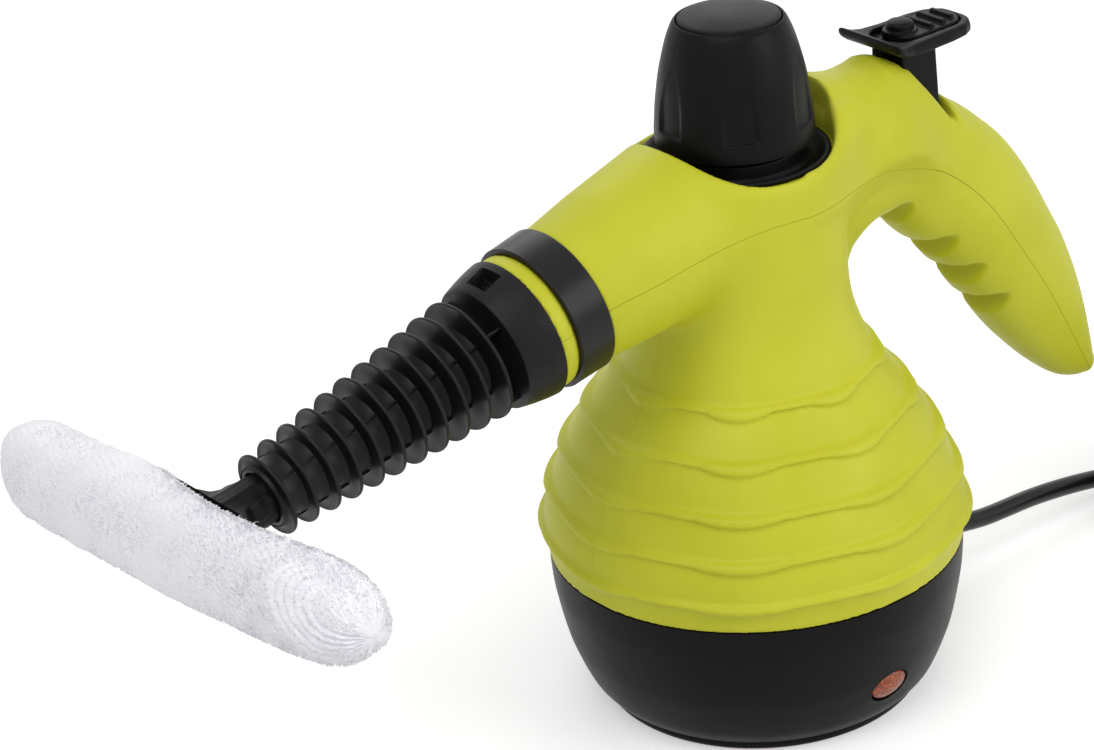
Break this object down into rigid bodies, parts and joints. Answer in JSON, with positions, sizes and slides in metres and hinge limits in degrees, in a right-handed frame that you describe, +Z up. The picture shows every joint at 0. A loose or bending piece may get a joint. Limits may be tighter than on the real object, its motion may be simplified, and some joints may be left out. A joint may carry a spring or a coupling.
{
  "type": "steam cleaner",
  "caption": "Hand-held steam cleaner with a ribbed round housing, curved rear handle, top trigger, screw cap, finned extension nozzle, cloth head and coiled cord.",
  "frame": {"origin": "centre of the underside of the base, on the surface that the object stands on", "axes": "+X towards the nozzle and the cloth head, +Y towards the pilot lamp, +Z up along the cap"},
  "size_m": [0.5602, 0.1766, 0.2324],
  "materials": {
    "lime_plastic": "satin moulded",
    "black_plastic": "satin moulded",
    "gloss_black_plastic": "polished moulded",
    "black_rubber": "matt",
    "cord_sheath": "smooth satin",
    "boiler_metal": "as cast",
    "steel": "bright zinc",
    "brass": "turned",
    "plug_pin_metal": "nickel plated",
    "amber_lens": "moulded with facets",
    "white_nylon": "satin",
    "brown_wire": "satin",
    "blue_wire": "satin",
    "white_cloth": "brushed towelling"
  },
  "bodies": {
    "housing": {"top_cover": "lime_plastic", "lower_housing_left": "lime_plastic", "lower_housing_right": "lime_plastic", "base_shell": "black_plastic", "base_plate": "black_plastic", "steam_spigot": "black_plastic", "cord_clamp": "black_plastic", "plug_body": "black_plastic", "nozzle_clamp_ring": "gloss_black_plastic", "filler_funnel": "gloss_black_plastic", "strain_relief": "black_rubber", "boiler_gasket": "black_rubber", "cord_tie": "black_rubber", "power_cord": "cord_sheath", "cord_coil": "cord_sheath", "cord_tail": "cord_sheath", "boiler_lower": "boiler_metal", "boiler_upper": "boiler_metal", "thermostat": "boiler_metal", "boiler_bolt_1": "steel", "boiler_bolt_2": "steel", "boiler_bolt_3": "steel", "boiler_bolt_4": "steel", "base_screw_1": "steel", "base_screw_2": "steel", "base_screw_3": "steel", "heating_element": "steel", "inlet_pipe": "steel", "steam_pipe": "steel", "valve_spring": "steel", "trigger_spring": "steel", "filler_neck": "brass", "valve_body": "brass", "steam_jet": "brass", "plug_pin_1": "plug_pin_metal", "plug_pin_2": "plug_pin_metal", "lamp_lens": "amber_lens", "terminal_block": "white_nylon", "thermal_fuse": "white_nylon", "lamp_bulb": "white_nylon", "lead_live": "brown_wire", "lead_neutral": "blue_wire"},
    "trigger": {"trigger": "black_plastic"},
    "lock_slider": {"lock_slider": "black_plastic"},
    "valve_pin": {"valve_pin": "steel"},
    "cap_gasket": {"cap_gasket": "black_rubber"},
    "cap_washer": {"cap_washer": "steel"},
    "cap_plug": {"cap_plug": "black_plastic", "cap_spring": "steel", "relief_spring": "steel"},
    "cap_grip": {"cap_shell": "black_plastic", "cap_disc": "black_plastic"},
    "relief_valve": {"relief_valve": "brass"},
    "collar_seal": {"collar_seal": "black_rubber"},
    "extension": {"extension_nozzle": "black_plastic"},
    "cloth_tool": {"tool_head": "black_plastic", "tool_blade": "black_rubber", "cloth_bonnet": "white_cloth"}
  },
  "joints": [
    {"name": "trigger_press", "type": "slide", "parent": "housing", "child": "trigger", "axis": [0, 0, -1], "range_m": [0, 0.0035], "stiffness_N_per_m": 800, "springref_m": -0.004, "deforming": ["trigger_spring"]},
    {"name": "valve_pin_press", "type": "slide", "parent": "housing", "child": "valve_pin", "axis": [0, 0, -1], "range_m": [0, 0.0035], "deforming": ["valve_spring"]},
    {"name": "lock_slide", "type": "slide", "parent": "trigger", "child": "lock_slider", "axis": [1, 0, 0], "range_m": [0, 0.004]},
    {"name": "cap_lift", "type": "slide", "parent": "housing", "child": "cap_gasket", "axis": [0, 0, 1], "range_m": [0, 0.06]},
    {"name": "cap_rise", "type": "slide", "parent": "cap_gasket", "child": "cap_washer", "axis": [0, 0, 1], "range_m": [0, 0.009]},
    {"name": "cap_turn", "type": "hinge", "parent": "cap_washer", "child": "cap_plug", "pos_m": [0, 0, 0.186], "axis": [0, 0, 1], "range_deg": [0, 1080]},
    {"name": "cap_press", "type": "slide", "parent": "cap_plug", "child": "cap_grip", "axis": [0, 0, -1], "range_m": [0, 0.003], "stiffness_N_per_m": 1500, "springref_m": -0.003, "deforming": ["cap_spring"]},
    {"name": "relief_pop", "type": "slide", "parent": "cap_plug", "child": "relief_valve", "axis": [0, 0, 1], "range_m": [0, 0.0015], "stiffness_N_per_m": 600, "springref_m": -0.004, "deforming": ["relief_spring"]},
    {"name": "extension_pull", "type": "slide", "parent": "housing", "child": "collar_seal", "axis": [0.9781, 0, -0.2079], "range_m": [0, 0.03]},
    {"name": "extension_twist", "type": "hinge", "parent": "collar_seal", "child": "extension", "pos_m": [0.072, 0, 0.16], "axis": [0.9781, 0, -0.2079], "range_deg": [0, 35]},
    {"name": "tool_pull", "type": "slide", "parent": "extension", "child": "cloth_tool", "axis": [0.9781, 0, -0.2079], "range_m": [0, 0.02]}
  ],
  "couplings": [
    {"joint": "valve_pin_press", "follows": "trigger_press", "ratio": 1},
    {"joint": "cap_rise", "follows": "cap_turn", "m_per_rad": 0.00047746}
  ]
}
